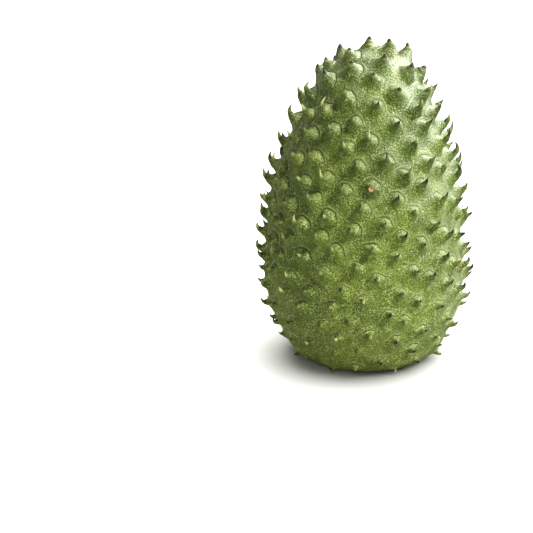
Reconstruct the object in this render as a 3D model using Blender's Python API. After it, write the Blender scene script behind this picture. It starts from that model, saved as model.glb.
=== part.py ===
"""A soursop: the whole fruit, standing on the blunt end that its stalk was cut from.

Blender 4.5. Metres, +Z up. One closed solid, because the fruit and its spines grew as one piece.
The skin is a net of small fields, one for each soft spine. Like the fruit itself, the net winds in
spirals from the stalk end to the tip. The origin is under the middle of the fruit, on the table.
"""

import math
import random

import bmesh
import bpy
import numpy as np
from mathutils import Vector

MM = 0.001

# The skin between the spines, turned round the fruit's axis: radius and height in millimetres,
# from the edge of the flat spot it rests on, over the blunt shoulder and the belly, to the tip.
OUTLINE = (
    (35.5, 0.0), (46.5, 6.0), (54.0, 20.0), (61.0, 40.0), (62.0, 62.0), (59.5, 88.0), (57.5, 110.0),
    (51.0, 131.0), (44.5, 150.0), (37.0, 170.0), (28.5, 185.0), (17.5, 195.0), (0.0, 200.5),
)
OUTLINE_STEPS = 24            # samples between two outline points
FLAT_STEPS = 60               # samples over the flat spot
SMALLEST_RADIUS = 0.05        # the net's latitude has no end at radius 0, so it stops here, mm

# The axis isn't straight: the belly bows to -X, and the tip leans to +X.
BELLY_BOW = 2.0 * MM
TIP_LEAN = 3.3 * MM
LEAN_POWER = 8
SWELL = 0.6 * MM              # slow, shallow swells that keep the belly from being truly round

# The spines, in the spirals of a golden angle, each on about the same area of skin.
SPINE_SPOTS = 300
GOLDEN_ANGLE = math.pi * (3.0 - math.sqrt(5.0))
SPIRAL_START = math.radians(40.0)
WANDER = 2.4 * MM             # how far a spine may stand from its place in the spiral
SEED = 11
STALK_FIELD = 22.0 * MM       # the stalk's own field reaches half-way to this circle

SPINE_LENGTH = (9.0 * MM, 15.0 * MM)      # along its curve, shortest and longest on the belly
SHORTEST_SPINE = 2.5 * MM                 # what is worn below this is left out
SHOULDER_HEIGHT = 125.0 * MM              # below this the spines get shorter
SHOULDER_SHARE = 0.4                      # of their length that they keep at the table
CAP_HEIGHT = 178.0 * MM                   # above this they are short, stout and less hooked
CAP_LENGTH = 0.65
CAP_HOOK = 0.5
CAP_RADIUS = 3.9 * MM
START_TILT = math.radians(12.0)           # a spine leaves the skin leaning slightly to the tip
HOOK = (math.radians(42.0), math.radians(100.0))  # and has turned this far, shortest and longest
HOOK_SPREAD = math.radians(20.0)          # give or take this
HOOK_SIDE = math.radians(16.0)            # more than that on the -X side, less on the +X side
BEND = (0.3, 0.95)                        # it bends between these shares of its length
SIDE_LEAN = math.radians(16.0)
PATH_STEPS = 12
RING_STEPS = (3, 6, 9)        # steps along the path where the spine has a ring of corners
SPINE_RADIUS = 2.5 * MM       # a long spine at its first ring, where its mound ends
SLENDERNESS = 0.3             # a short spine's radius there, as a share of its length
TAPER = 1.25                  # from there it narrows to the tip in a slightly hollow curve
TABLE_GAP = 1.8 * MM          # every spine's middle line stays at least this far above the table

# The spine nearest to this spot is broken off, so its only ring of corners is a blunt end.
BROKEN_SPOT = Vector((-5.6, -51.7, 127.0)) * MM
BROKEN_STEPS = (3,)

# The stalk's scar: a shallow pit in the flat spot, with the stub of the cut stalk inside.
PIT_SIDES_PER_EDGE = 3
PIT_RINGS = (                 # radius and height of each ring, from the flat spot to the stub's end
    (10.5 * MM, 0.0),
    (8.4 * MM, 0.0),
    (7.0 * MM, 2.6 * MM),
    (4.4 * MM, 3.4 * MM),
    (3.9 * MM, 1.0 * MM),
)

SKIN_COLOUR = (0.155, 0.262, 0.045, 1.0)
SKIN_ROUGHNESS = 0.5
SMOOTH_ANGLE = math.radians(40.0)


def smooth_outline():
    """Runs one smooth curve through OUTLINE, level at both ends."""
    knots = np.array(OUTLINE)
    gaps = np.hypot(*np.diff(knots, axis=0).T)
    slopes = np.diff(knots, axis=0) / gaps[:, None]
    before, after = gaps[:-1, None], gaps[1:, None]
    inner = (slopes[:-1] * after + slopes[1:] * before) / (before + after)
    tangents = np.vstack(((1.0, 0.0), inner, (-1.0, 0.0)))
    t = np.linspace(0.0, 1.0, OUTLINE_STEPS, endpoint=False)[:, None]
    pieces = []
    for start, end, leave, arrive, gap in zip(knots, knots[1:], tangents, tangents[1:], gaps):
        pieces.append(
            (2 * t**3 - 3 * t**2 + 1) * start
            + (t**3 - 2 * t**2 + t) * gap * leave
            + (3 * t**2 - 2 * t**3) * end
            + (t**3 - t**2) * gap * arrive
        )
    return np.vstack(pieces + [knots[-1:]])


def turned_profile():
    """Returns the profile's radius and height in metres, its share of the skin's area below each
    sample, and the latitude on a ball that keeps every small circle of skin a circle."""
    curve = smooth_outline()
    flat = np.geomspace(SMALLEST_RADIUS, OUTLINE[0][0], FLAT_STEPS, endpoint=False)
    radius = np.concatenate((flat, np.maximum(curve[:, 0], SMALLEST_RADIUS)))
    height = np.concatenate((np.zeros(FLAT_STEPS), curve[:, 1]))
    steps = np.hypot(np.diff(radius), np.diff(height))
    middle = (radius[1:] + radius[:-1]) / 2
    area = np.concatenate(((0.0,), np.cumsum(steps * middle)))
    area /= area[-1]
    climb = np.concatenate(((0.0,), np.cumsum(steps / middle)))
    latitude = np.arctan(np.sinh(climb - np.interp(0.5, area, climb)))
    return radius * MM, height * MM, area, latitude


RADIUS, HEIGHT, AREA, LATITUDE = turned_profile()
TOP = HEIGHT[-1]
WIDEST = max(RADIUS)


def on_ball(share, turn):
    """The ball direction of the skin that has this share of the area below it."""
    latitude = np.interp(share, AREA, LATITUDE)
    ring = math.cos(latitude)
    return Vector((ring * math.cos(turn), ring * math.sin(turn), math.sin(latitude)))


def skin(direction):
    """The point of the skin that belongs to a ball direction."""
    latitude = math.atan2(direction.z, math.hypot(direction.x, direction.y))
    turn = math.atan2(direction.y, direction.x)
    radius = float(np.interp(latitude, LATITUDE, RADIUS))
    height = float(np.interp(latitude, LATITUDE, HEIGHT))
    rise = height / TOP
    swell = math.sin(2 * turn + 5.0 * rise) + 0.7 * math.sin(3 * turn - 7.0 * rise + 2.0)
    radius += SWELL * swell * math.sin(math.pi * rise)
    lean = TIP_LEAN * rise**LEAN_POWER - BELLY_BOW * math.sin(math.pi * rise)
    return Vector((radius * math.cos(turn) + lean, radius * math.sin(turn), height))


def skin_frame(direction):
    """The skin's point, outward normal and direction to the tip at a ball direction."""
    step = 0.01
    pole = Vector((0.0, 0.0, 1.0))
    east = pole.cross(direction)
    if east.length < step:
        east = Vector((1.0, 0.0, 0.0))
    east.normalize()
    north = direction.cross(east)
    point = skin(direction)
    along = skin(direction + step * east) - skin(direction - step * east)
    up = skin(direction + step * north) - skin(direction - step * north)
    normal = along.cross(up).normalized()
    return point, normal, (up - normal * up.dot(normal)).normalized()


def spine_places():
    """Ball directions of the fields' middles: the stalk's first, then every spine's."""
    rng = random.Random(SEED)
    places = [Vector((0.0, 0.0, -1.0))]
    for index in range(SPINE_SPOTS):
        place = on_ball((index + 0.5) / SPINE_SPOTS, SPIRAL_START + index * GOLDEN_ANGLE)
        point = skin(place)
        ring = math.hypot(point.x, point.y)
        if point.z == 0.0 and ring < STALK_FIELD:
            continue
        wander = WANDER * math.hypot(place.x, place.y) / ring
        side = Vector((-place.y, place.x, 0.0)).normalized()
        place += wander * rng.uniform(-1.0, 1.0) * side
        place += wander * rng.uniform(-1.0, 1.0) * place.cross(side)
        places.append(place.normalized())
    return places


def neighbour_triangles(places):
    """Joins the places into triangles. On a ball, their hull joins nearest neighbours."""
    net = bmesh.new()
    for place in places:
        net.verts.new(place)
    net.verts.index_update()
    bmesh.ops.convex_hull(net, input=net.verts[:])
    triangles = [[vert.index for vert in face.verts] for face in net.faces]
    net.free()
    return triangles


def corners_around(places, triangles):
    """For each place, its triangles in order, anticlockwise as seen from outside."""
    middles = [sum((places[i] for i in tri), Vector()).normalized() for tri in triangles]
    around = [[] for _ in places]
    for number, triangle in enumerate(triangles):
        for index in triangle:
            around[index].append(number)
    for place, numbers in zip(places, around):
        east = place.orthogonal().normalized()
        north = place.cross(east)
        numbers.sort(key=lambda n: math.atan2(middles[n].dot(north), middles[n].dot(east)))
    return middles, around


def spine_path(point, normal, up, length, hook, lean):
    """The middle line of a spine: out of the skin, then turning to the tip of the fruit."""
    sideways = normal.cross(up)
    towards = up * math.cos(lean) + sideways * math.sin(lean)
    path = [point.copy()]
    for step in range(PATH_STEPS):
        done = (step + 0.5) / PATH_STEPS
        bent = min(max((done - BEND[0]) / (BEND[1] - BEND[0]), 0.0), 1.0)
        angle = START_TILT + (hook - START_TILT) * bent * bent * (3.0 - 2.0 * bent)
        course = normal * math.cos(angle) + towards * math.sin(angle)
        path.append(path[-1] + course * length / PATH_STEPS)
    return path


def spine_size(point, rng):
    """Length, hook and lean of the spine that grows at a point of the skin."""
    curl = rng.random()
    length = SPINE_LENGTH[0] + (SPINE_LENGTH[1] - SPINE_LENGTH[0]) * curl
    hook = HOOK[0] + (HOOK[1] - HOOK[0]) * curl + HOOK_SPREAD * rng.uniform(-1.0, 1.0)
    hook -= HOOK_SIDE * point.x / WIDEST
    lean = rng.uniform(-SIDE_LEAN, SIDE_LEAN)
    if point.z < SHOULDER_HEIGHT:
        length *= SHOULDER_SHARE + (1.0 - SHOULDER_SHARE) * point.z / SHOULDER_HEIGHT
    if point.z > CAP_HEIGHT:
        length *= CAP_LENGTH
        hook *= CAP_HOOK
    return length, hook, lean


def clear_of_table(point, normal, up, length, hook, lean):
    """Shortens a spine until it stands clear of the table. Returns no path if none is left."""
    while length > SHORTEST_SPINE:
        path = spine_path(point, normal, up, length, hook, lean)
        if min(spot.z for spot in path) > TABLE_GAP:
            return path
        length *= 0.85
    return None


def grow_spine(bm, face, point, path, ring_steps):
    """Draws a field's face out into a mound, then into a curved spine with a ring of corners at
    each of ring_steps. A whole spine ends in a point."""
    length = sum((after - before).length for before, after in zip(path, path[1:]))
    foot = CAP_RADIUS if point.z > CAP_HEIGHT else min(SPINE_RADIUS, SLENDERNESS * length)
    for step in ring_steps:
        face = bmesh.ops.extrude_discrete_faces(bm, faces=[face])["faces"][0]
        course = (path[step + 1] - path[step - 1]).normalized()
        left = (PATH_STEPS - step) / (PATH_STEPS - RING_STEPS[0])
        for vert in face.verts:
            away = vert.co - point
            away -= course * away.dot(course)
            vert.co = path[step] + away.normalized() * foot * left**TAPER
    if ring_steps == RING_STEPS:
        tip = bmesh.ops.poke(bm, faces=[face])["verts"][0]
        tip.co = path[-1]


def sink_stalk_pit(bm, face):
    """Draws the stalk's field inwards into a round pit, with the stub of the stalk in it."""
    bmesh.ops.bisect_edges(bm, edges=face.edges[:], cuts=PIT_SIDES_PER_EDGE - 1)
    for radius, height in PIT_RINGS:
        for vert in face.verts:
            vert.co = Vector((vert.co.x, vert.co.y, 0.0)).normalized() * radius
            vert.co.z = height
        if (radius, height) != PIT_RINGS[-1]:
            face = bmesh.ops.extrude_discrete_faces(bm, faces=[face])["faces"][0]


def centre_on_origin(bm):
    """Moves the fruit so that its box is centred over the origin."""
    for axis in (0, 1):
        reach = [vert.co[axis] for vert in bm.verts]
        middle = (min(reach) + max(reach)) / 2
        for vert in bm.verts:
            vert.co[axis] -= middle


def fruit_mesh():
    places = spine_places()
    triangles = neighbour_triangles(places)
    middles, around = corners_around(places, triangles)
    bm = bmesh.new()
    corners = [bm.verts.new(skin(middle)) for middle in middles]
    fields = [bm.faces.new([corners[number] for number in numbers]) for numbers in around]
    broken = min(places, key=lambda place: (skin(place) - BROKEN_SPOT).length)
    rng = random.Random(SEED)
    for place, field in zip(places[1:], fields[1:]):
        point, normal, up = skin_frame(place)
        size = spine_size(point, rng)
        path = clear_of_table(point, normal, up, *size)
        if path:
            ring_steps = BROKEN_STEPS if place == broken else RING_STEPS
            grow_spine(bm, field, point, path, ring_steps)
    sink_stalk_pit(bm, fields[0])
    centre_on_origin(bm)
    bmesh.ops.triangulate(bm, faces=bm.faces[:])
    bmesh.ops.recalc_face_normals(bm, faces=bm.faces[:])
    mesh = bpy.data.meshes.new("soursop")
    bm.to_mesh(mesh)
    bm.free()
    mesh.shade_smooth()
    mesh.set_sharp_from_angle(angle=SMOOTH_ANGLE)
    return mesh


def skin_material():
    material = bpy.data.materials.new("soursop_skin")
    material.use_nodes = True
    shader = material.node_tree.nodes["Principled BSDF"]
    shader.inputs["Base Color"].default_value = SKIN_COLOUR
    shader.inputs["Roughness"].default_value = SKIN_ROUGHNESS
    shader.inputs["Metallic"].default_value = 0.0
    return material


def main():
    for thing in list(bpy.data.objects):
        bpy.data.objects.remove(thing, do_unlink=True)
    mesh = fruit_mesh()
    mesh.materials.append(skin_material())
    fruit = bpy.data.objects.new("soursop", mesh)
    bpy.context.scene.collection.objects.link(fruit)


main()
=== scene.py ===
"""The looks of a soursop: its skin, spines, creases and stalk scar, on a pale studio floor.

Laid out as a Blender 4.5 add-on and run as a script. Metres, +Z up, in the frame of the solid.
"""

import math
import random

import bmesh
import bpy
import numpy as np
from bpy.props import FloatProperty, FloatVectorProperty, PointerProperty
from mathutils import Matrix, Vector, noise


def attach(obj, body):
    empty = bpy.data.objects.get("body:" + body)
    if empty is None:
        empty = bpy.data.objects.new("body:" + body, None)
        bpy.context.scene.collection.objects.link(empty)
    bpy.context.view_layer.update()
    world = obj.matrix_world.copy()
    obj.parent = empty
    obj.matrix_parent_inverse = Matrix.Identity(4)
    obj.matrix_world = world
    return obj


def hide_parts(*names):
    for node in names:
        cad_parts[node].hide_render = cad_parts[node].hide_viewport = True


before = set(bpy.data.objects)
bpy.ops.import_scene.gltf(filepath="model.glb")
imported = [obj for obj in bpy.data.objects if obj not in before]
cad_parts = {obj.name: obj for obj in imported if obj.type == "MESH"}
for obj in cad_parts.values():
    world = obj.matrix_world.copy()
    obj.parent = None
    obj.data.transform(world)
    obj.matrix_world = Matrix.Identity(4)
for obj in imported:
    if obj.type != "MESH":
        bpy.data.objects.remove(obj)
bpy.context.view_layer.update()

bl_info = {
    "name": "Soursop",
    "version": (1, 0, 0),
    "blender": (4, 5, 0),
    "location": "3D View > Sidebar > Soursop",
    "description": "Builds a whole soursop with its curved soft spines, and a plain studio for it",
    "category": "Add Mesh",
}

MM = 0.001
BODY = "root"
NODE = "soursop"

# The solid's own outline, axis, net and spines. They are repeated from it, because the finished
# skin has to lie on the solid. OUTLINE holds radii and heights in millimetres.
OUTLINE = (
    (35.5, 0.0), (46.5, 6.0), (54.0, 20.0), (61.0, 40.0), (62.0, 62.0), (59.5, 88.0), (57.5, 110.0),
    (51.0, 131.0), (44.5, 150.0), (37.0, 170.0), (28.5, 185.0), (17.5, 195.0), (0.0, 200.5),
)
OUTLINE_STEPS = 24                    # samples between two outline points
FLAT_STEPS = 60                       # samples over the flat spot
SMALLEST_RADIUS = 0.05                # millimetres, because the latitude has no end at radius 0
BELLY_BOW = 2.0 * MM                  # the belly bows to -X
TIP_LEAN = 3.3 * MM                   # and the tip leans to +X
LEAN_POWER = 8
SWELL = 0.6 * MM                      # slow swells that keep the belly from being truly round
SPINE_SPOTS = 300
GOLDEN_ANGLE = math.pi * (3.0 - math.sqrt(5.0))
SPIRAL_START = math.radians(40.0)
WANDER = 2.4 * MM                     # how far a spine may stand from its place in the spiral
SEED = 11
STALK_FIELD = 22.0 * MM               # the stalk's own field reaches half-way to this circle
SHORTEST_SPINE = 2.5 * MM             # what is worn below this is left out
SHOULDER_HEIGHT = 125.0 * MM          # below this the spines get shorter
SHOULDER_SHARE = 0.4                  # of their length that they keep at the table
CAP_HEIGHT = 178.0 * MM               # above this they are short, stout and less hooked
CAP_LENGTH = 0.65
CAP_HOOK = 0.5
START_TILT = math.radians(12.0)       # a spine leaves the skin leaning slightly to the tip
HOOK = (math.radians(42.0), math.radians(100.0))   # and has turned this far, shortest and longest
HOOK_SPREAD = math.radians(20.0)      # give or take this
HOOK_SIDE = math.radians(16.0)        # more than that on the -X side, less on the +X side
BEND = (0.3, 0.95)                    # it bends between these shares of its length
SIDE_LEAN = math.radians(16.0)
PATH_STEPS = 12
SLENDERNESS = 0.3                     # a short spine's radius, as a share of its length
TABLE_GAP = 1.8 * MM                  # every spine's middle line stays this far above the table
SHORTENING = 0.85                     # and is shortened by this share until it does
BROKEN_SPOT = np.array((-5.6, -51.7, 127.0)) * MM   # the spine nearest to it is broken off
BROKEN_SHARE = 0.05                   # of that spine that is left above its mound

# A field is the skin round one spine. Fields share their rims, and each is meshed in rings from
# its rim in to the spine's foot, and then up the spine. The last are shares of the way from the
# top of the spine's mound to its end.
RIM_PARTS = 4                                # pieces that each edge between fields is split into
CREASE_RINGS = (2.0, 1.0, 0.0, -1.0)         # rings at the crease, in half widths from its bottom
FIELD_RINGS = (0.25, 0.5, 0.75)              # then rings at these shares of the way to the foot
LIPS = (0.15, 1.0, 0.0, 0.0, 0.0, 0.0, 0.0)  # how far each of those rings is on the crease's lip
DIPS = (0.0, 0.0, 1.0, 0.15, 0.0, 0.0, 0.0)  # and how far it is in the crease
SHAFT_RINGS = (0.0, 0.05, 0.13, 0.23, 0.34, 0.45, 0.56, 0.67, 0.78, 0.88, 0.97)

# Fields low down differ from fields near the fruit's tip. These pairs hold a number for each, and
# GROWN holds the heights between which the first turns into the second.
GROWN = (35.0 * MM, 110.0 * MM)
MOUND_SHARE = (0.24, 0.36)            # of a spine's length that its mound takes
FLARE_SHARE = (1.6, 1.0)              # of the distance over which a mound falls off
CREASE_ANGLE = (math.radians(105.0), math.radians(52.0))   # direction in which it is deepest
CREASE_SHARE = (0.85, 1.0)            # of the crease's depth
RING_SHARE = (0.6, 1.0)               # of the crease's radius

# Mounds and creases.
DOME_POWER = 1.1                      # inside its crease a mound is a dome. 1 is a cone
FLARE = (1.9 * MM, 0.5 * MM)          # it falls off over this outside, less by the second above
CREASE_TURN = math.radians(16.0)      # each crease is turned by up to this much
CREASE_ENDS = (0.05, 0.6)             # cosines between which it fades out towards its ends
CREASE_SPREAD = (0.6, 1.0)            # some creases are shallower by chance
RING_SPREAD = (0.8, 1.1)              # and some are tighter round their spine
CREASE_REACH = 0.085                  # half a crease's width is at most this share of its field's
RING_WAVES = ((2, 0.05), (5, 0.04))   # waves round its ring, and how far each goes in and out
WAVE_START = 6.0                      # each starts by chance within these radians
RING_RUNOUT = (0.7, 0.05)             # cosines between which the ring runs out to the rim
RIM_SHARE = (0.8, 0.82)               # where it ends, as shares of the evened and the real rim
RIM_PASSES = 3                        # how often that rim is evened
RELIEF_FOOT = 6.0 * MM                # mounds and creases have their full height from here up
SWELL_FOOT = 20.0 * MM                # and broad swells from here up
SWELL_SCALE = 85.0                    # broad swells are about 12 mm across
SKIN_SCALE = 330.0                    # the skin's fine wander is about 3 mm across
SPINE_SCALE = 480.0                   # and that of the spines about 2 mm

# Spines.
PAINTED_TIP_LIGHT = 0.3                       # painted light and shade: more tips are pale to the left, and fewer to the right
CAP_KIND = 0.6                        # and none are round the fruit's tip
BARE_FOOT = 2.0 * MM                  # foot of a field whose spine is worn off
FOOT_SHARE = 0.6                      # a foot takes at most this share of its field
BLUNT_SHARE = 0.3                     # of the spines that have a blunter end
BLUNTER = 2.4
END_POWER = 6                         # how late a spine's end rounds off
SETTLE = 1.6 * MM                     # over this height a spine gets its own outline
TURN_IN = 2.0 * MM                    # and over this its rings turn across its middle line
BREAK_RINGS = (                       # share of the radius, lift in millimetres, cork
    (0.95, 0.3, 0.3), (0.8, 0.35, 0.6), (0.6, 0.1, 1.0), (0.3, -0.1, 0.78),
)
BREAK_MIDDLE = (-0.1 * MM, 0.55)      # lift and cork in the middle of the break
STALK_RINGS = (                       # radius and height in millimetres, cork
    (8.6, 0.0, 0.0), (8.2, 0.25, 0.0), (7.6, 1.2, 0.05), (7.0, 2.3, 0.1), (6.2, 3.0, 0.1),
    (5.2, 3.3, 0.6), (4.5, 3.2, 1.0), (4.15, 2.5, 1.0), (4.0, 1.5, 1.0), (3.8, 1.1, 1.0),
    (3.3, 1.0, 1.0), (2.0, 1.15, 1.0), (0.9, 1.3, 1.0),
)
STALK_MIDDLE = 1.35 * MM              # height of the stub's middle
STALK_WAVES = ((3, 1, 0.03), (7, 2, 0.02))   # waves round a ring, how they wind with it, their size

# The studio. Each light has a name, a spread in degrees, a direction from the fruit, and what it
# lights. The floor has lights of its own, so that it stays pale and its shadow soft. The light of
# the window is seen only as shine.
LIGHTS = (
    ("key", 14.0, (0.53, -0.46, 0.73), "fruit"),
    ("low", 50.0, (0.75, -0.6, 0.12), "fruit"),
    ("wash", 104.0, (0.37, 0.26, 0.89), "floor"),
    ("bounce", 60.0, (-0.35, -0.85, 0.4), "floor"),
    ("window", 65.0, (0.67, 0.33, 0.67), "fruit"),
    ("top", 60.0, (0.1, 0.1, 1.0), "both"),
    ("rim", 40.0, (-0.75, 0.62, 0.25), "fruit"),
)
FLOOR_HALF = 6.0                      # metres, far past what the camera sees
FLOOR_ROUGHNESS = 0.9
CAMERA_PLACE = (-0.0622, -1.3863, 0.5754)
CAMERA_DOWN = math.radians(20.5)      # how far down it looks
LENS = 157.0                          # millimetres
GAMMA = 0.85                          # deepens the middle tones


def linear(hex_colour):
    """An sRGB hex colour as linear RGBA."""
    channels = [int(hex_colour[i:i + 2], 16) / 255 for i in (1, 3, 5)]
    return (*[c / 12.92 if c <= 0.04045 else ((c + 0.055) / 1.055) ** 2.4 for c in channels], 1.0)


class SoursopShape(bpy.types.PropertyGroup):
    shortest: FloatProperty(
        name="Shortest spine", description="Length of the shortest belly spine along its curve",
        default=9.0 * MM, unit="LENGTH", precision=4)
    longest: FloatProperty(
        name="Longest spine", description="Length of the longest belly spine along its curve",
        default=15.0 * MM, unit="LENGTH", precision=4)
    foot: FloatProperty(
        name="Spine radius", description="Radius of a long spine near its foot",
        default=2.35 * MM, unit="LENGTH", precision=4)
    taper: FloatProperty(
        name="Taper", description="How hollow the spine's taper is. 1 is a straight cone",
        default=1.6, min=1.0, max=3.0)
    keel: FloatProperty(
        name="Keel", description="How much deeper than wide a spine is at its foot",
        default=0.15, min=0.0, max=0.6)
    tip: FloatProperty(
        name="Tip radius", description="Radius of a spine's end",
        default=0.25 * MM, unit="LENGTH", precision=5)
    cap_foot: FloatProperty(
        name="Cap spine radius", description="Foot radius of the stout spines at the fruit's tip",
        default=3.9 * MM, unit="LENGTH", precision=4)
    cap_tip: FloatProperty(
        name="Cap tip radius", description="Radius of those spines' blunt ends",
        default=0.95 * MM, unit="LENGTH", precision=4)
    ring: FloatProperty(
        name="Crease radius", description="How far from a spine its crease curves round it",
        default=6.6 * MM, unit="LENGTH", precision=4)
    groove: FloatProperty(
        name="Crease width", description="Width of the crease above and right of each spine",
        default=1.5 * MM, unit="LENGTH", precision=5)
    crease: FloatProperty(
        name="Crease depth", description="Depth of that crease, near the fruit's tip",
        default=0.6 * MM, unit="LENGTH", precision=5)
    lip: FloatProperty(
        name="Crease lip", description="Height of the lip along a crease's outer side",
        default=0.5 * MM, unit="LENGTH", precision=5)
    swell: FloatProperty(
        name="Swell", description="How far the skin between the spines swells in and out",
        default=1.3 * MM, unit="LENGTH", precision=5)
    rough: FloatProperty(
        name="Roughness", description="How far the skin wanders within a few millimetres",
        default=0.2 * MM, unit="LENGTH", precision=5)


class SoursopSkin(bpy.types.PropertyGroup):
    green: FloatVectorProperty(
        name="Skin green", description="Main colour of the skin", subtype="COLOR", size=4,
        default=linear("#758729"), min=0.0, max=1.0)
    shade: FloatVectorProperty(
        name="Shade green", description="Darker patches of the skin", subtype="COLOR", size=4,
        default=linear("#536718"), min=0.0, max=1.0)
    yellow: FloatVectorProperty(
        name="Low green", description="Yellower green near the stalk end", subtype="COLOR", size=4,
        default=linear("#7c8736"), min=0.0, max=1.0)
    dark: FloatVectorProperty(
        name="Hollow green", description="Between the pores", subtype="COLOR", size=4,
        default=linear("#3b5014"), min=0.0, max=1.0)
    # Also the colour of the painted highlights on mounds' slopes and, in part, on the creases'
    # lips.
    speck: FloatVectorProperty(
        name="Speck", description="Pale pores of the skin", subtype="COLOR", size=4,
        default=linear("#b8c080"), min=0.0, max=1.0)
    spine: FloatVectorProperty(
        name="Spine green", description="The spines' own green", subtype="COLOR", size=4,
        default=linear("#445a1a"), min=0.0, max=1.0)
    thin: FloatVectorProperty(
        name="Hook green", description="The thin part of the spines", subtype="COLOR", size=4,
        default=linear("#b2b86e"), min=0.0, max=1.0)
    # Painted shade: the creases' bottoms are darkened with this, as if shade fell in them.
    crease: FloatVectorProperty(
        name="Crease", description="The bottom of the creases", subtype="COLOR", size=4,
        default=linear("#435a14"), min=0.0, max=1.0)


class SoursopStage(bpy.types.PropertyGroup):
    floor: FloatVectorProperty(
        name="Floor", description="Colour of the studio floor", subtype="COLOR", size=4,
        default=linear("#c6c6c4"), min=0.0, max=1.0)
    key: FloatProperty(
        name="Key light", description="Strength of the soft key light", default=4.3, min=0.0)
    low: FloatProperty(
        name="Low light", description="Strength of the reflector low on the right", default=0.1,
        min=0.0)
    window: FloatProperty(
        name="Window light", description="Strength of the wide light behind on the right",
        default=25.0, min=0.0)
    wash: FloatProperty(
        name="Floor light", description="Strength of the light that only the floor takes",
        default=10.5, min=0.0)
    bounce: FloatProperty(
        name="Bounce", description="Strength of the low light that softens the shadow on the floor",
        default=1.3, min=0.0)
    top: FloatProperty(
        name="Top light", description="Strength of the wide light overhead", default=0.8, min=0.0)
    rim: FloatProperty(
        name="Rim light", description="Strength of the light behind on the left", default=0.8,
        min=0.0)
    fill: FloatProperty(
        name="Fill light", description="Strength of the light from all round", default=0.1, min=0.0)


# ---------------------------------------------------------------- the skin as a surface


def smooth_outline():
    """Runs one smooth curve through OUTLINE, level at both ends."""
    knots = np.array(OUTLINE)
    gaps = np.hypot(*np.diff(knots, axis=0).T)
    slopes = np.diff(knots, axis=0) / gaps[:, None]
    before, after = gaps[:-1, None], gaps[1:, None]
    inner = (slopes[:-1] * after + slopes[1:] * before) / (before + after)
    tangents = np.vstack(((1.0, 0.0), inner, (-1.0, 0.0)))
    t = np.linspace(0.0, 1.0, OUTLINE_STEPS, endpoint=False)[:, None]
    pieces = []
    for start, end, leave, arrive, gap in zip(knots, knots[1:], tangents, tangents[1:], gaps):
        pieces.append(
            (2 * t**3 - 3 * t**2 + 1) * start
            + (t**3 - 2 * t**2 + t) * gap * leave
            + (3 * t**2 - 2 * t**3) * end
            + (t**3 - t**2) * gap * arrive
        )
    return np.vstack(pieces + [knots[-1:]])


def turned_profile():
    """Radius and height in metres, share of the area below, and latitude on the ball."""
    curve = smooth_outline()
    flat = np.geomspace(SMALLEST_RADIUS, OUTLINE[0][0], FLAT_STEPS, endpoint=False)
    radius = np.concatenate((flat, np.maximum(curve[:, 0], SMALLEST_RADIUS)))
    height = np.concatenate((np.zeros(FLAT_STEPS), curve[:, 1]))
    steps = np.hypot(np.diff(radius), np.diff(height))
    middle = (radius[1:] + radius[:-1]) / 2
    area = np.concatenate(((0.0,), np.cumsum(steps * middle)))
    area /= area[-1]
    climb = np.concatenate(((0.0,), np.cumsum(steps / middle)))
    latitude = np.arctan(np.sinh(climb - np.interp(0.5, area, climb)))
    return radius * MM, height * MM, area, latitude


RADIUS, HEIGHT, AREA, LATITUDE = turned_profile()
TOP = HEIGHT[-1]
WIDEST = max(RADIUS)


def between(pair, share):
    """The number this share of the way from the first of the pair to the second."""
    return pair[0] * (1 - share) + pair[1] * share


def unit(vectors):
    """The vectors, each brought to length 1."""
    return vectors / np.linalg.norm(vectors, axis=-1, keepdims=True)


def dot(a, b):
    """Dot products along the last axis, kept as a column."""
    return np.sum(a * b, axis=-1, keepdims=True)


def skin(directions):
    """The points of the skin that belong to ball directions."""
    x, y, z = np.moveaxis(np.asarray(directions), -1, 0)
    latitude = np.arctan2(z, np.hypot(x, y))
    turn = np.arctan2(y, x)
    radius = np.interp(latitude, LATITUDE, RADIUS)
    height = np.interp(latitude, LATITUDE, HEIGHT)
    rise = height / TOP
    # Two slow waves wind up the fruit, so that it isn't truly round.
    swell = np.sin(2 * turn + 5.0 * rise) + 0.7 * np.sin(3 * turn - 7.0 * rise + 2.0)
    radius = radius + SWELL * swell * np.sin(math.pi * rise)
    lean = TIP_LEAN * rise**LEAN_POWER - BELLY_BOW * np.sin(math.pi * rise)
    return np.stack((radius * np.cos(turn) + lean, radius * np.sin(turn), height), axis=-1)


def skin_frames(directions):
    """Points, outward normals and directions to the fruit's tip at ball directions."""
    step = 0.01
    east = np.cross((0.0, 0.0, 1.0), directions)
    short = np.linalg.norm(east, axis=-1) < step
    east[short] = (1.0, 0.0, 0.0)
    east = unit(east)
    north = np.cross(directions, east)
    along = skin(directions + step * east) - skin(directions - step * east)
    up = skin(directions + step * north) - skin(directions - step * north)
    normal = unit(np.cross(along, up))
    return skin(directions), normal, unit(up - normal * dot(up, normal))


def on_ball(share, turn):
    """The ball direction of the skin that has this share of the area below it."""
    latitude = np.interp(share, AREA, LATITUDE)
    ring = math.cos(latitude)
    return np.array((ring * math.cos(turn), ring * math.sin(turn), math.sin(latitude)))


# ---------------------------------------------------------------- the net of fields


def spine_places():
    """Ball directions of the fields' middles: the stalk's first, then every spine's."""
    rng = random.Random(SEED)
    places = [np.array((0.0, 0.0, -1.0))]
    for index in range(SPINE_SPOTS):
        place = on_ball((index + 0.5) / SPINE_SPOTS, SPIRAL_START + index * GOLDEN_ANGLE)
        point = skin(place)
        ring = math.hypot(point[0], point[1])
        if point[2] == 0.0 and ring < STALK_FIELD:
            continue
        wander = WANDER * math.hypot(place[0], place[1]) / ring
        side = unit(np.array((-place[1], place[0], 0.0)))
        place = place + wander * rng.uniform(-1.0, 1.0) * side
        place = place + wander * rng.uniform(-1.0, 1.0) * np.cross(place, side)
        places.append(unit(place))
    return np.array(places)


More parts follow.
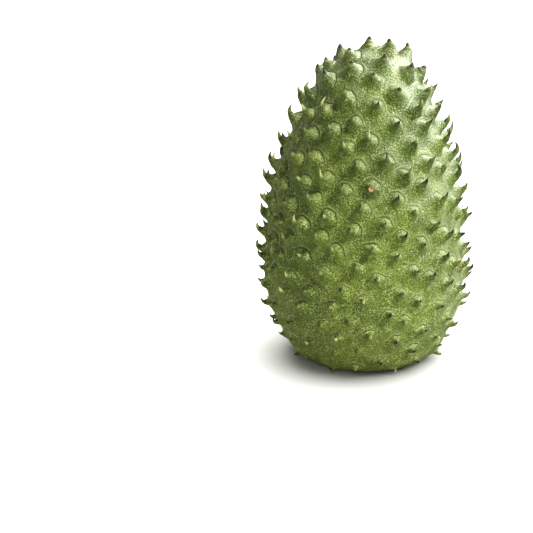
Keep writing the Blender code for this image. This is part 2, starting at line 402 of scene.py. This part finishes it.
def neighbour_triangles(places):
    """Joins the places into triangles. On a ball, their hull joins nearest neighbours."""
    net = bmesh.new()
    for place in places:
        net.verts.new(place)
    net.verts.index_update()
    bmesh.ops.convex_hull(net, input=net.verts[:])
    triangles = [[vert.index for vert in face.verts] for face in net.faces]
    net.free()
    return triangles


def corners_around(places, middles, triangles):
    """For each place, its triangles in order, anticlockwise as seen from outside."""
    around = [[] for _ in places]
    for number, triangle in enumerate(triangles):
        for index in triangle:
            around[index].append(number)
    for place, numbers in zip(places, around):
        east = unit(np.cross(place, (0.3, 0.9, 0.1)))    # no place points exactly that way
        north = np.cross(place, east)
        numbers.sort(key=lambda n: math.atan2(middles[n] @ north, middles[n] @ east))
    return around


def smoothstep(low, high, value):
    """0 below low, 1 above high and a smooth rise between."""
    t = np.clip((value - low) / (high - low), 0.0, 1.0)
    return t * t * (3 - 2 * t)


class Net:
    """The fields' shared rim points, and for each field the run of rim points round it."""

    def __init__(self):
        self.places = spine_places()
        self.points, self.normals, self.ups = skin_frames(self.places.copy())
        self.easts = np.cross(self.ups, self.normals)
        triangles = neighbour_triangles(self.places)
        middles = unit(np.array([self.places[t].sum(axis=0) for t in triangles]))
        self.rim = list(middles)
        edges = {}
        self.runs = []
        for numbers in corners_around(self.places, middles, triangles):
            run = []
            for first, second in zip(numbers, numbers[1:] + numbers[:1]):
                key = (min(first, second), max(first, second))
                if key not in edges:
                    edges[key] = self.split_edge(*key)
                run += [first] + (edges[key] if first < second else edges[key][::-1])
            self.runs.append(run)
        self.rim = np.array(self.rim)

    def split_edge(self, first, second):
        """Adds the rim points inside an edge, and returns their numbers."""
        count = len(self.rim)
        for part in range(1, RIM_PARTS):
            share = part / RIM_PARTS
            self.rim.append(unit(self.rim[first] * (1 - share) + self.rim[second] * share))
        return list(range(count, len(self.rim)))


# ---------------------------------------------------------------- the spines


def spine_sizes(net, shape):
    """Length, hook and lean of every field's spine, in the solid's order of random draws."""
    rng = random.Random(SEED)
    sizes = [(0.0, 0.0, 0.0)]
    for point in net.points[1:]:
        curl = rng.random()
        length = shape.shortest + (shape.longest - shape.shortest) * curl
        hook = HOOK[0] + (HOOK[1] - HOOK[0]) * curl + HOOK_SPREAD * rng.uniform(-1.0, 1.0)
        hook -= HOOK_SIDE * point[0] / WIDEST
        lean = rng.uniform(-SIDE_LEAN, SIDE_LEAN)
        if point[2] < SHOULDER_HEIGHT:
            length *= SHOULDER_SHARE + (1.0 - SHOULDER_SHARE) * point[2] / SHOULDER_HEIGHT
        if point[2] > CAP_HEIGHT:
            length *= CAP_LENGTH
            hook *= CAP_HOOK
        sizes.append((length, hook, lean))
    return sizes


def spine_path(point, normal, towards, length, hook):
    """The middle line of a spine, and the angle from the skin's normal at each of its points."""
    path, angles = [point], [0.0]
    for step in range(PATH_STEPS):
        done = (step + 0.5) / PATH_STEPS
        angle = START_TILT + (hook - START_TILT) * float(smoothstep(*BEND, done))
        course = normal * math.cos(angle) + towards * math.sin(angle)
        path.append(path[-1] + course * length / PATH_STEPS)
        done += 0.5 / PATH_STEPS
        angles.append(START_TILT + (hook - START_TILT) * float(smoothstep(*BEND, done)))
    return np.array(path), np.array(angles)


def clear_of_table(point, normal, towards, length, hook):
    """Shortens a spine until it stands clear of the table. Returns length 0 if none is left."""
    while length > SHORTEST_SPINE:
        path, _ = spine_path(point, normal, towards, length, hook)
        if path[:, 2].min() > TABLE_GAP:
            return length
        length *= SHORTENING
    return 0.0


class Builder:
    """Collects vertices, faces and the marks that the material reads: how far up its spine a
    point is, what kind of tip that spine has, how far it is in a crease, on a lip, in cork and up
    a mound, and how far on the slope of a mound on its crease's side. With these the material
    paints shade in the creases, a highlight in part on the lips and a highlight on those slopes,
    as if light fell there. The kind of tip is shifted by side as painted light and shade."""

    MARKS = ("tip", "kind", "crease", "lip", "bark", "mound", "flank")

    def __init__(self):
        self.points = []
        self.faces = []
        self.marks = {mark: [] for mark in self.MARKS}

    def add(self, points, **marks):
        """Adds vertices and returns their numbers."""
        first = len(self.points)
        self.points.extend(points)
        for mark in self.MARKS:
            value = marks.get(mark, 0.0)
            self.marks[mark].extend(np.broadcast_to(value, (len(points),)))
        return list(range(first, len(self.points)))

    def join(self, outer, inner):
        """Fills the strip between two rings, seen anticlockwise. The inner has as many points
        as the outer, or half as many, or one."""
        count = len(outer)
        for n in range(count):
            m = (n + 1) % count
            if len(inner) == 1:
                self.faces.append((outer[n], outer[m], inner[0]))
            elif len(inner) == count:
                self.faces.append((outer[n], outer[m], inner[m], inner[n]))
            elif n % 2 == 0:
                last = (n // 2 + 1) % len(inner)
                self.faces.append((outer[n], outer[n + 1], inner[n // 2]))
                self.faces.append((outer[n + 1], outer[(n + 2) % count], inner[last]))
                self.faces.append((outer[n + 1], inner[last], inner[n // 2]))


def swells(points, shape):
    """How far the skin swells out at each point. It doesn't at the flat spot."""
    rise = np.array([noise.noise(Vector(point) * SWELL_SCALE) for point in points])
    return rise * shape.swell * smoothstep(0.0, SWELL_FOOT, np.asarray(points)[:, 2])


def field_skin(builder, net, index, outer, reach, feet, mound, shape):
    """Lays a field's skin in rings from its rim to the foot of its spine. Returns the last."""
    rng = random.Random(index + SEED)
    place, run = net.places[index], net.runs[index]
    rim = net.rim[run]
    aside = skin(rim) - net.points[index]
    angle = np.arctan2(aside @ net.ups[index], aside @ net.easts[index])
    grown = float(smoothstep(*GROWN, net.points[index][2]))
    deepest = between(CREASE_ANGLE, grown)
    facing = np.cos(angle - deepest - CREASE_TURN * rng.uniform(-1.0, 1.0))
    crease = smoothstep(*CREASE_ENDS, facing) * rng.uniform(*CREASE_SPREAD)
    crease = crease * between(CREASE_SHARE, grown)
    even = reach
    for _ in range(RIM_PASSES):
        even = (np.roll(even, 1) + 2 * even + np.roll(even, -1)) / 4
    even = np.minimum(RIM_SHARE[0] * even, RIM_SHARE[1] * reach)
    wave = 1
    for waves, size in RING_WAVES:
        wave = wave + size * np.sin(waves * angle + rng.uniform(0, WAVE_START))
    bottom = shape.ring * rng.uniform(*RING_SPREAD) * between(RING_SHARE, grown) * wave
    bottom = np.minimum(bottom, even)
    bottom = bottom + (even - bottom) * smoothstep(*RING_RUNOUT, facing)
    half = np.minimum(shape.groove / 2, CREASE_REACH * reach)
    flare = (FLARE[0] - FLARE[1] * np.sin(angle)) * between(FLARE_SHARE, grown)
    falls = [bottom + half * ring for ring in CREASE_RINGS]
    falls += [falls[-1] + (feet - falls[-1]) * share for share in FIELD_RINGS]
    least = np.exp((feet - reach) / flare)
    for away, lip, dip in zip(falls, LIPS, DIPS):
        spots, normals, _ = skin_frames(unit(place + (rim - place) * (away / reach)[:, None]))
        hollow = (np.exp((feet - away) / flare) - least) / (1.0 - least)
        dome = 1.0 - np.clip((away - feet) / (bottom - feet), 0.0, 1.0) ** DOME_POWER
        rise = (hollow + (dome - hollow) * crease) * (mound > 0.0)
        lip, dip = crease * lip, crease * dip
        rough = np.array([noise.noise(Vector(spot) * SKIN_SCALE) for spot in spots]) * shape.rough
        height = mound * rise + shape.lip * lip - shape.crease * dip + rough
        height = height + swells(spots, shape) * (1.0 - rise)
        spots = spots + normals * (height * smoothstep(0.0, RELIEF_FOOT, spots[:, 2]))[:, None]
        # Painted highlight: the material pales a mound's slope on its crease's side with this mark,
        # as if light fell there.
        flank = crease * 4.0 * rise * (1.0 - rise)
        inner = builder.add(spots, crease=dip, lip=lip, mound=rise, flank=flank)
        builder.join(outer, inner)
        outer = inner
    return outer


def build_field(builder, net, index, rim_numbers, size, shape, broken):
    """Adds one field: its skin from the rim inwards, then its spine."""
    place, point, normal = net.places[index], net.points[index], net.normals[index]
    run = net.runs[index]
    rim = net.rim[run]
    reach = np.linalg.norm(skin(rim) - point, axis=-1)
    length, hook, lean = size
    towards = net.ups[index] * math.cos(lean) + np.cross(normal, net.ups[index]) * math.sin(lean)
    length = clear_of_table(point, normal, towards, length, hook)
    foot = min(shape.foot, SLENDERNESS * length) if length else BARE_FOOT
    rng = random.Random(index)
    # Painted light and shade: the kind is shifted so that tips are paler to the left and darker to
    # the right.
    kind = min(max(rng.random() - PAINTED_TIP_LIGHT * point[0] / WIDEST, 0.0), 1.0)
    blunt = shape.tip * (BLUNTER if rng.random() < BLUNT_SHARE else 1.0)
    if point[2] > CAP_HEIGHT:
        foot, blunt, kind = shape.cap_foot, shape.cap_tip, kind * CAP_KIND
    feet = np.minimum(foot, FOOT_SHARE * reach)
    mound = length * between(MOUND_SHARE, float(smoothstep(*GROWN, point[2])))
    outer = rim_numbers[run].tolist()
    outer = field_skin(builder, net, index, outer, reach, feet, mound, shape)
    if not length:
        builder.join(outer, builder.add([point + normal * swells([point], shape)[0]]))
        return
    path, angles = spine_path(point, normal, towards, length, hook)
    marks_at = np.linspace(0.0, length, PATH_STEPS + 1)
    half = rim[::2]
    aside = skin(half) - point
    side = np.cross(normal, towards)
    turn = np.arctan2(aside @ side, aside @ towards)[:, None]
    start = feet[::2, None]
    for share in SHAFT_RINGS:
        if broken and share > BROKEN_SHARE:
            break
        up = share * (length - mound)
        along = mound + up
        radius = (foot - blunt) * (1 - share) ** shape.taper
        radius += blunt * math.sqrt(1 - share**END_POWER)
        angle = float(np.interp(along, marks_at, angles)) * float(smoothstep(0, TURN_IN, up))
        middle = np.array([np.interp(along, marks_at, path[:, axis]) for axis in range(3)])
        ahead = towards * math.cos(angle) - normal * math.sin(angle)
        settle = float(smoothstep(0.0, SETTLE, up))
        radii = start * (radius / foot) * (1 - settle) + radius * settle
        keel = shape.keel * (1 - share)
        out = (1 + keel) * np.cos(turn) * ahead + (1 - keel) * np.sin(turn) * side
        spots = middle + radii * out
        ground_way = unit(place + (half - place) * (radii / reach[::2, None]))
        ground = skin(ground_way) + normal * along
        spots = ground * (1 - settle) + spots * settle
        rough = np.array([noise.noise(Vector(spot) * SPINE_SCALE) for spot in spots])[:, None]
        spots = spots + out * rough * shape.rough * (1 - share)
        inner = builder.add(spots, tip=share, kind=kind, mound=1.0)
        builder.join(outer, inner)
        outer = inner
    if broken:
        build_break(builder, outer, middle, kind)
        return
    tip = builder.add([path[-1]], tip=1.0, kind=kind, mound=1.0)
    builder.join(outer, tip)


def build_break(builder, outer, middle, kind):
    """Closes a broken spine with a dished, corky face."""
    edge = np.array([builder.points[number] for number in outer])
    normal = unit(np.cross(edge[0] - middle, edge[3] - middle))
    for share, lift, bark in BREAK_RINGS:
        spots = middle + (edge - middle) * share + normal * lift * MM
        inner = builder.add(spots, bark=bark, kind=kind, mound=1.0)
        builder.join(outer, inner)
        outer = inner
    lift, bark = BREAK_MIDDLE
    builder.join(outer, builder.add([middle + normal * lift], bark=bark, mound=1.0))


def build_stalk_scar(builder, net, rim_numbers):
    """Adds the pit in the flat spot and the corky stub of the cut stalk."""
    run = net.runs[0]
    outer = rim_numbers[run].tolist()
    turn = np.arctan2(net.rim[run][:, 1], net.rim[run][:, 0])[:, None]
    for radius, height, bark in STALK_RINGS:
        wobble = 1
        for waves, wind, size in STALK_WAVES:
            wobble = wobble + size * np.sin(waves * turn + wind * radius)
        ring = radius * MM * wobble * np.hstack((np.cos(turn), np.sin(turn), turn * 0))
        ring[:, 2] = height * MM
        inner = builder.add(ring, bark=bark)
        builder.join(outer, inner)
        outer = inner
    builder.join(outer, builder.add([np.array((0.0, 0.0, STALK_MIDDLE))], bark=1.0))


def fruit_mesh(shape):
    """The whole skin as one closed mesh, centred over the origin as the solid is."""
    net = Net()
    builder = Builder()
    rim, normals, _ = skin_frames(net.rim.copy())
    rim_numbers = np.array(builder.add(rim + normals * swells(rim, shape)[:, None]))
    build_stalk_scar(builder, net, rim_numbers)
    broken = np.linalg.norm(net.points - BROKEN_SPOT, axis=1).argmin()
    for index, size in enumerate(spine_sizes(net, shape)):
        if index:
            build_field(builder, net, index, rim_numbers, size, shape, index == broken)
    points = np.array(builder.points)
    points[:, :2] -= (points[:, :2].min(axis=0) + points[:, :2].max(axis=0)) / 2
    points[:, 2] = np.maximum(points[:, 2], 0.0)
    mesh = bpy.data.meshes.new("soursop_skin")
    mesh.from_pydata(points, [], builder.faces)
    for mark in Builder.MARKS:
        layer = mesh.attributes.new(mark, "FLOAT", "POINT")
        layer.data.foreach_set("value", np.array(builder.marks[mark], dtype=np.float32))
    mesh.shade_smooth()
    mesh.validate()
    return mesh


# ---------------------------------------------------------------- materials


class Tree:
    """A node tree, with one way to add a node."""

    def __init__(self, tree):
        self.tree = tree

    def add(self, kind, *values, settings=(), out=0, **inputs):
        """Adds a node with its settings and returns its output. Values go to its inputs in order,
        and inputs by number, as in6, or by name, with _ for a space. Sockets are linked."""
        node = self.tree.nodes.new("ShaderNode" + kind)
        for name, value in dict(settings).items():
            setattr(node, name, value)
        places = dict(enumerate(values))
        for name, value in inputs.items():
            places[int(name[2:]) if name[2:].isdigit() else name.replace("_", " ")] = value
        for place, value in places.items():
            if isinstance(value, bpy.types.NodeSocket):
                self.tree.links.new(value, node.inputs[place])
            else:
                node.inputs[place].default_value = value
        return node.outputs[out] if node.outputs else node


# Noises of the skin: name, size in millimetres, detail and roughness. The real pores are a third
# of a millimetre across, too fine to show, so pores and specks are drawn up to three times that.
NOISES = (
    ("broad", 30.0, 3.0, 0.5), ("patch", 9.0, 3.0, 0.5), ("uneven", 5.0, 2.0, 0.5),
    ("pore", 0.9, 3.0, 0.65), ("fine", 0.75, 2.0, 0.6), ("cork", 0.8, 3.0, 0.5),
)
PEBBLE = 1.0 * MM                            # width of the pebbles between the pores
RELIEF = 0.8 * MM                            # depth of the bumps

# A map's numbers are where its value starts and ends, and then the result at each.
BUMP_MAP = (20.0 * MM, 150.0 * MM, 0.45, 1.0)     # bumps by height
MATT_MAP = (90.0 * MM, 160.0 * MM, 0.8, 0.52)     # roughness by height
DRY_MAP = (0.0, 0.15, 0.0, 0.7)                   # and at the start of a spine's dry tip
DULL_MAP = (0.0, 0.7, 0.0, 0.7)                   # and in a crease
TIP_MAP = (-0.12, 0.28, 0.0, 0.95)                # how the tip's colour sets in
TIP_START = (0.3, 0.36)                           # it starts at the second, and up to the first on
TIP_DIGITS = 7.3
TIP_COLOURS = ((0.0, "#262004"), (0.45, "#3a300e"), (0.64, "#7a6436"), (0.7, "#b4b878"))
CORK_RING, CORK_DARK, CORK_PALE = linear("#64401c"), linear("#8e6a40"), linear("#ccb07c")


def skin_material(looks):
    """Soursop rind: grown, leathery and matt, with pale pores and soft green spines."""
    material = bpy.data.materials.new("grown_soursop_rind")
    material.use_nodes = True
    material.node_tree.nodes.clear()
    add = Tree(material.node_tree).add
    blend = {"data_type": "RGBA"}
    smooth = {"interpolation_type": "SMOOTHSTEP"}
    times = {"operation": "MULTIPLY"}
    most = {"operation": "MAXIMUM"}
    mark = {
        name: add("Attribute", settings={"attribute_name": name}, out="Fac")
        for name in Builder.MARKS
    }
    tip = mark["tip"]
    where = add("TexCoord", out="Object")
    height = add("SeparateXYZ", where, out="Z")
    grain = {
        name: add("TexNoise", Vector=where, Scale=1.0 / (size * MM), Detail=detail, Roughness=rough)
        for name, size, detail, rough in NOISES
    }

    # Broad and small patches of a darker green, and a yellower one low down. A painted highlight
    # makes a mound paler on its crease's side, as if light fell there, and a spine is a darker
    # green at its foot and paler in its hook.
    colour = looks.green
    for value, low, high, least, share, shade in (
        (grain["broad"], 0.35, 0.65, 0.0, 1.0, looks.shade),
        (grain["patch"], 0.35, 0.68, 0.0, 0.75, looks.shade),
        (height, 20 * MM, 110 * MM, 0.35, 0.0, looks.yellow),
        (mark["flank"], 0.0, 1.0, 0.0, 0.3, looks.speck),
        (mark["mound"], 0.7, 1.0, 0.0, 0.2, looks.spine),
        (tip, 0.0, 0.3, 0.0, 0.6, looks.spine),
        (tip, 0.25, 0.6, 0.0, 0.5, looks.thin),
    ):
        share = add("MapRange", value, low, high, least, share, settings=smooth)
        colour = add("Mix", share, in6=colour, in7=shade, settings=blend, out=2)

    # Pebbles between the pores, dark in their seams, and then the pale pores and specks. Both fade
    # out along a spine, and the pores come and go over the skin.
    pebble = add(
        "TexVoronoi", Vector=where, Scale=1.0 / PEBBLE, settings={"feature": "SMOOTH_F1"})
    pebble = add("MapRange", pebble, 0.1, 0.75, 1.0, 0.0, settings=smooth)
    mottle = add("Mix", 0.65, in2=pebble, in3=grain["pore"])
    shown = add("MapRange", tip, 0.05, 0.5, 1.0, 0.2, settings=smooth)
    uneven = add("MapRange", grain["uneven"], 0.35, 0.65, 0.2, 0.72, settings=smooth)
    dark = add("MapRange", mottle, 0.36, 0.5, 0.4, 0.0, settings=smooth)
    finer = add("MapRange", grain["fine"], 0.36, 0.5, 0.8, 0.0, settings=smooth)
    dark = add("Math", add("Math", dark, finer, settings=most), shown, settings=times)
    colour = add("Mix", dark, in6=colour, in7=looks.dark, settings=blend, out=2)
    pale = add("MapRange", mottle, 0.52, 0.66, 0.0, 0.9, settings=smooth)
    finer = add("MapRange", grain["fine"], 0.56, 0.68, 0.0, 0.9, settings=smooth)
    pale = add("Math", add("Math", pale, finer, settings=most), shown, settings=times)
    # Painted highlight: more pale specks on a mound's slope on its crease's side, as if lit.
    uneven = add(
        "Math", mark["flank"], 0.4, uneven, settings={"operation": "MULTIPLY_ADD"})
    pale = add("Math", pale, uneven, settings=times)
    colour = add("Mix", pale, in6=colour, in7=looks.speck, settings=blend, out=2)

    # Painted shade darkens the creases to green-brown, stronger and weaker along their run. Their
    # lip is paler, partly as a pale ridge and partly as a painted highlight.
    crease_shade_strength = add("MapRange", grain["uneven"], 0.3, 0.6, 0.35, 0.9, settings=smooth)
    crease = add("Math", mark["crease"], crease_shade_strength, settings=times)
    colour = add("Mix", crease, in6=colour, in7=looks.crease, settings=blend, out=2)
    lip = add("Math", mark["lip"], 0.6, settings=times)
    colour = add("Mix", lip, in6=colour, in7=looks.speck, settings=blend, out=2)

    # Tips are dry: mostly dark brown, a few tan, and some pale green. As painted light and shade,
    # more are pale to the left and dark to the right. Each starts at its own place along its spine,
    # which comes from a digit of kind that its colour doesn't use.
    dry = add("ValToRGB", mark["kind"])
    ramp = dry.node.color_ramp
    ramp.interpolation = "CONSTANT"
    while len(ramp.elements) < len(TIP_COLOURS):
        ramp.elements.new(0.5)
    for element, (spot, shade) in zip(ramp.elements, TIP_COLOURS):
        element.position = spot
        element.color = linear(shade)
    digit = add("Math", mark["kind"], TIP_DIGITS, settings=times)
    digit = add("Math", digit, settings={"operation": "FRACT"})
    start = add("Math", digit, *TIP_START, settings={"operation": "MULTIPLY_ADD"})
    past = add("Math", tip, start, settings={"operation": "SUBTRACT"})
    share = add("MapRange", past, *TIP_MAP, settings=smooth)
    colour = add("Mix", share, in6=colour, in7=dry, settings=blend, out=2)

    # Where a spine broke off and on the stub of the stalk there is cork in a red-brown ring.
    cork = add("Mix", grain["cork"], in6=CORK_DARK, in7=CORK_PALE, settings=blend, out=2)
    for low, high, shade in ((0.1, 0.4, CORK_RING), (0.5, 0.9, cork)):
        share = add("MapRange", mark["bark"], low, high, 0.0, 1.0, settings=smooth)
        colour = add("Mix", share, in6=colour, in7=shade, settings=blend, out=2)

    # The skin is bumpier and shinier near the fruit's tip. Spine tips and creases have no shine.
    bumps = add("MapRange", height, *BUMP_MAP, settings=smooth)
    bumps = add("Math", mottle, bumps, settings=times)
    bump = add("Bump", Strength=1.0, Distance=RELIEF, Height=bumps)
    matt = add("MapRange", height, *MATT_MAP, settings=smooth)
    dry = add("MapRange", past, *DRY_MAP, settings=smooth)
    dull = add("MapRange", mark["crease"], *DULL_MAP, settings=smooth)
    rough = add("Math", matt, add("Math", dry, dull, settings=most), settings=most)
    shader = add(
        "BsdfPrincipled", Base_Color=colour, Roughness=rough, Normal=bump, IOR=1.5,
        Specular_IOR_Level=0.35, Coat_Weight=0.15, Coat_Roughness=0.55)
    add("OutputMaterial", shader)
    return material


def floor_material(looks):
    """Matt white paint: rolled on, even and without shine, so that only its shadow shows."""
    material = bpy.data.materials.new("matt_white_paint")
    material.use_nodes = True
    shader = material.node_tree.nodes["Principled BSDF"]
    shader.inputs["Base Color"].default_value = looks.floor
    shader.inputs["Roughness"].default_value = FLOOR_ROUGHNESS
    return material


# ---------------------------------------------------------------- the studio


def lay_floor(scene, looks):
    """Adds the floor and returns it. It shows in no reflection, which would veil the dark side."""
    mesh = bpy.data.meshes.new("studio_floor")
    half = FLOOR_HALF
    corners = [(-half, -half, 0), (half, -half, 0), (half, half, 0), (-half, half, 0)]
    mesh.from_pydata(corners, [], [(0, 1, 2, 3)])
    mesh.materials.append(floor_material(looks))
    floor = bpy.data.objects.new("studio_floor", mesh)
    scene.collection.objects.link(floor)
    floor.visible_glossy = False
    return floor


def set_lights(scene, looks, floor):
    """Adds LIGHTS, linked to what each lights, and an even light from all round."""
    off_floor = bpy.data.collections.new("off_floor")
    off_floor.objects.link(floor)
    off_floor.collection_objects[0].light_linking.link_state = "EXCLUDE"
    floor_only = bpy.data.collections.new("floor_only")
    floor_only.objects.link(floor)
    receivers = {"fruit": off_floor, "floor": floor_only, "both": None}
    for name, spread, towards, lit in LIGHTS:
        sun = bpy.data.lights.new(name, "SUN")
        sun.energy = getattr(looks, name)
        sun.angle = math.radians(spread)
        lamp = bpy.data.objects.new(name, sun)
        lamp.rotation_euler = Vector(towards).to_track_quat("Z", "Y").to_euler()
        lamp.light_linking.receiver_collection = receivers[lit]
        lamp.visible_diffuse = name != "window"
        scene.collection.objects.link(lamp)
    world = bpy.data.worlds.new("studio")
    world.use_nodes = True
    background = world.node_tree.nodes["Background"]
    background.inputs["Color"].default_value = (1, 1, 1, 1)
    background.inputs["Strength"].default_value = looks.fill
    scene.world = world


def set_camera(scene):
    """Stands the camera in front of the fruit, looking down on it."""
    lens = bpy.data.cameras.new("camera")
    lens.lens = LENS
    camera = bpy.data.objects.new("camera", lens)
    camera.location = CAMERA_PLACE
    camera.rotation_euler = (math.radians(90.0) - CAMERA_DOWN, 0.0, 0.0)
    scene.collection.objects.link(camera)
    scene.camera = camera
    scene.view_settings.view_transform = "Standard"
    scene.view_settings.gamma = GAMMA


# ---------------------------------------------------------------- operators


class SOURSOP_OT_fruit(bpy.types.Operator):
    """Build the whole soursop"""

    bl_idname = "soursop.fruit"
    bl_label = "Soursop"

    def execute(self, context):
        mesh = fruit_mesh(context.scene.soursop_shape)
        mesh.materials.append(skin_material(context.scene.soursop_skin))
        fruit = bpy.data.objects.new("soursop_fruit", mesh)
        context.scene.collection.objects.link(fruit)
        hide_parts(NODE)
        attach(fruit, BODY)
        return {"FINISHED"}


class SOURSOP_OT_stage(bpy.types.Operator):
    """Lay the pale floor and set the soft studio light and the camera"""

    bl_idname = "soursop.stage"
    bl_label = "Studio"

    def execute(self, context):
        scene, looks = context.scene, context.scene.soursop_stage
        set_lights(scene, looks, lay_floor(scene, looks))
        set_camera(scene)
        return {"FINISHED"}


class SOURSOP_PT_panel(bpy.types.Panel):
    bl_label = "Soursop"
    bl_idname = "SOURSOP_PT_panel"
    bl_space_type = "VIEW_3D"
    bl_region_type = "UI"
    bl_category = "Soursop"

    def draw(self, context):
        layout = self.layout
        for group in ("soursop_shape", "soursop_skin", "soursop_stage"):
            settings = getattr(context.scene, group)
            box = layout.box()
            for name in settings.__annotations__:
                box.prop(settings, name)
        layout.operator(SOURSOP_OT_fruit.bl_idname)
        layout.operator(SOURSOP_OT_stage.bl_idname)


CLASSES = (
    SoursopShape, SoursopSkin, SoursopStage, SOURSOP_OT_fruit, SOURSOP_OT_stage, SOURSOP_PT_panel,
)


def register():
    for item in CLASSES:
        bpy.utils.register_class(item)
    bpy.types.Scene.soursop_shape = PointerProperty(type=SoursopShape)
    bpy.types.Scene.soursop_skin = PointerProperty(type=SoursopSkin)
    bpy.types.Scene.soursop_stage = PointerProperty(type=SoursopStage)


def unregister():
    for name in ("soursop_shape", "soursop_skin", "soursop_stage"):
        delattr(bpy.types.Scene, name)
    for item in reversed(CLASSES):
        bpy.utils.unregister_class(item)


def main():
    """Builds the fruit and the studio."""
    register()
    bpy.ops.soursop.fruit()
    bpy.ops.soursop.stage()


if __name__ == "__main__":
    main()
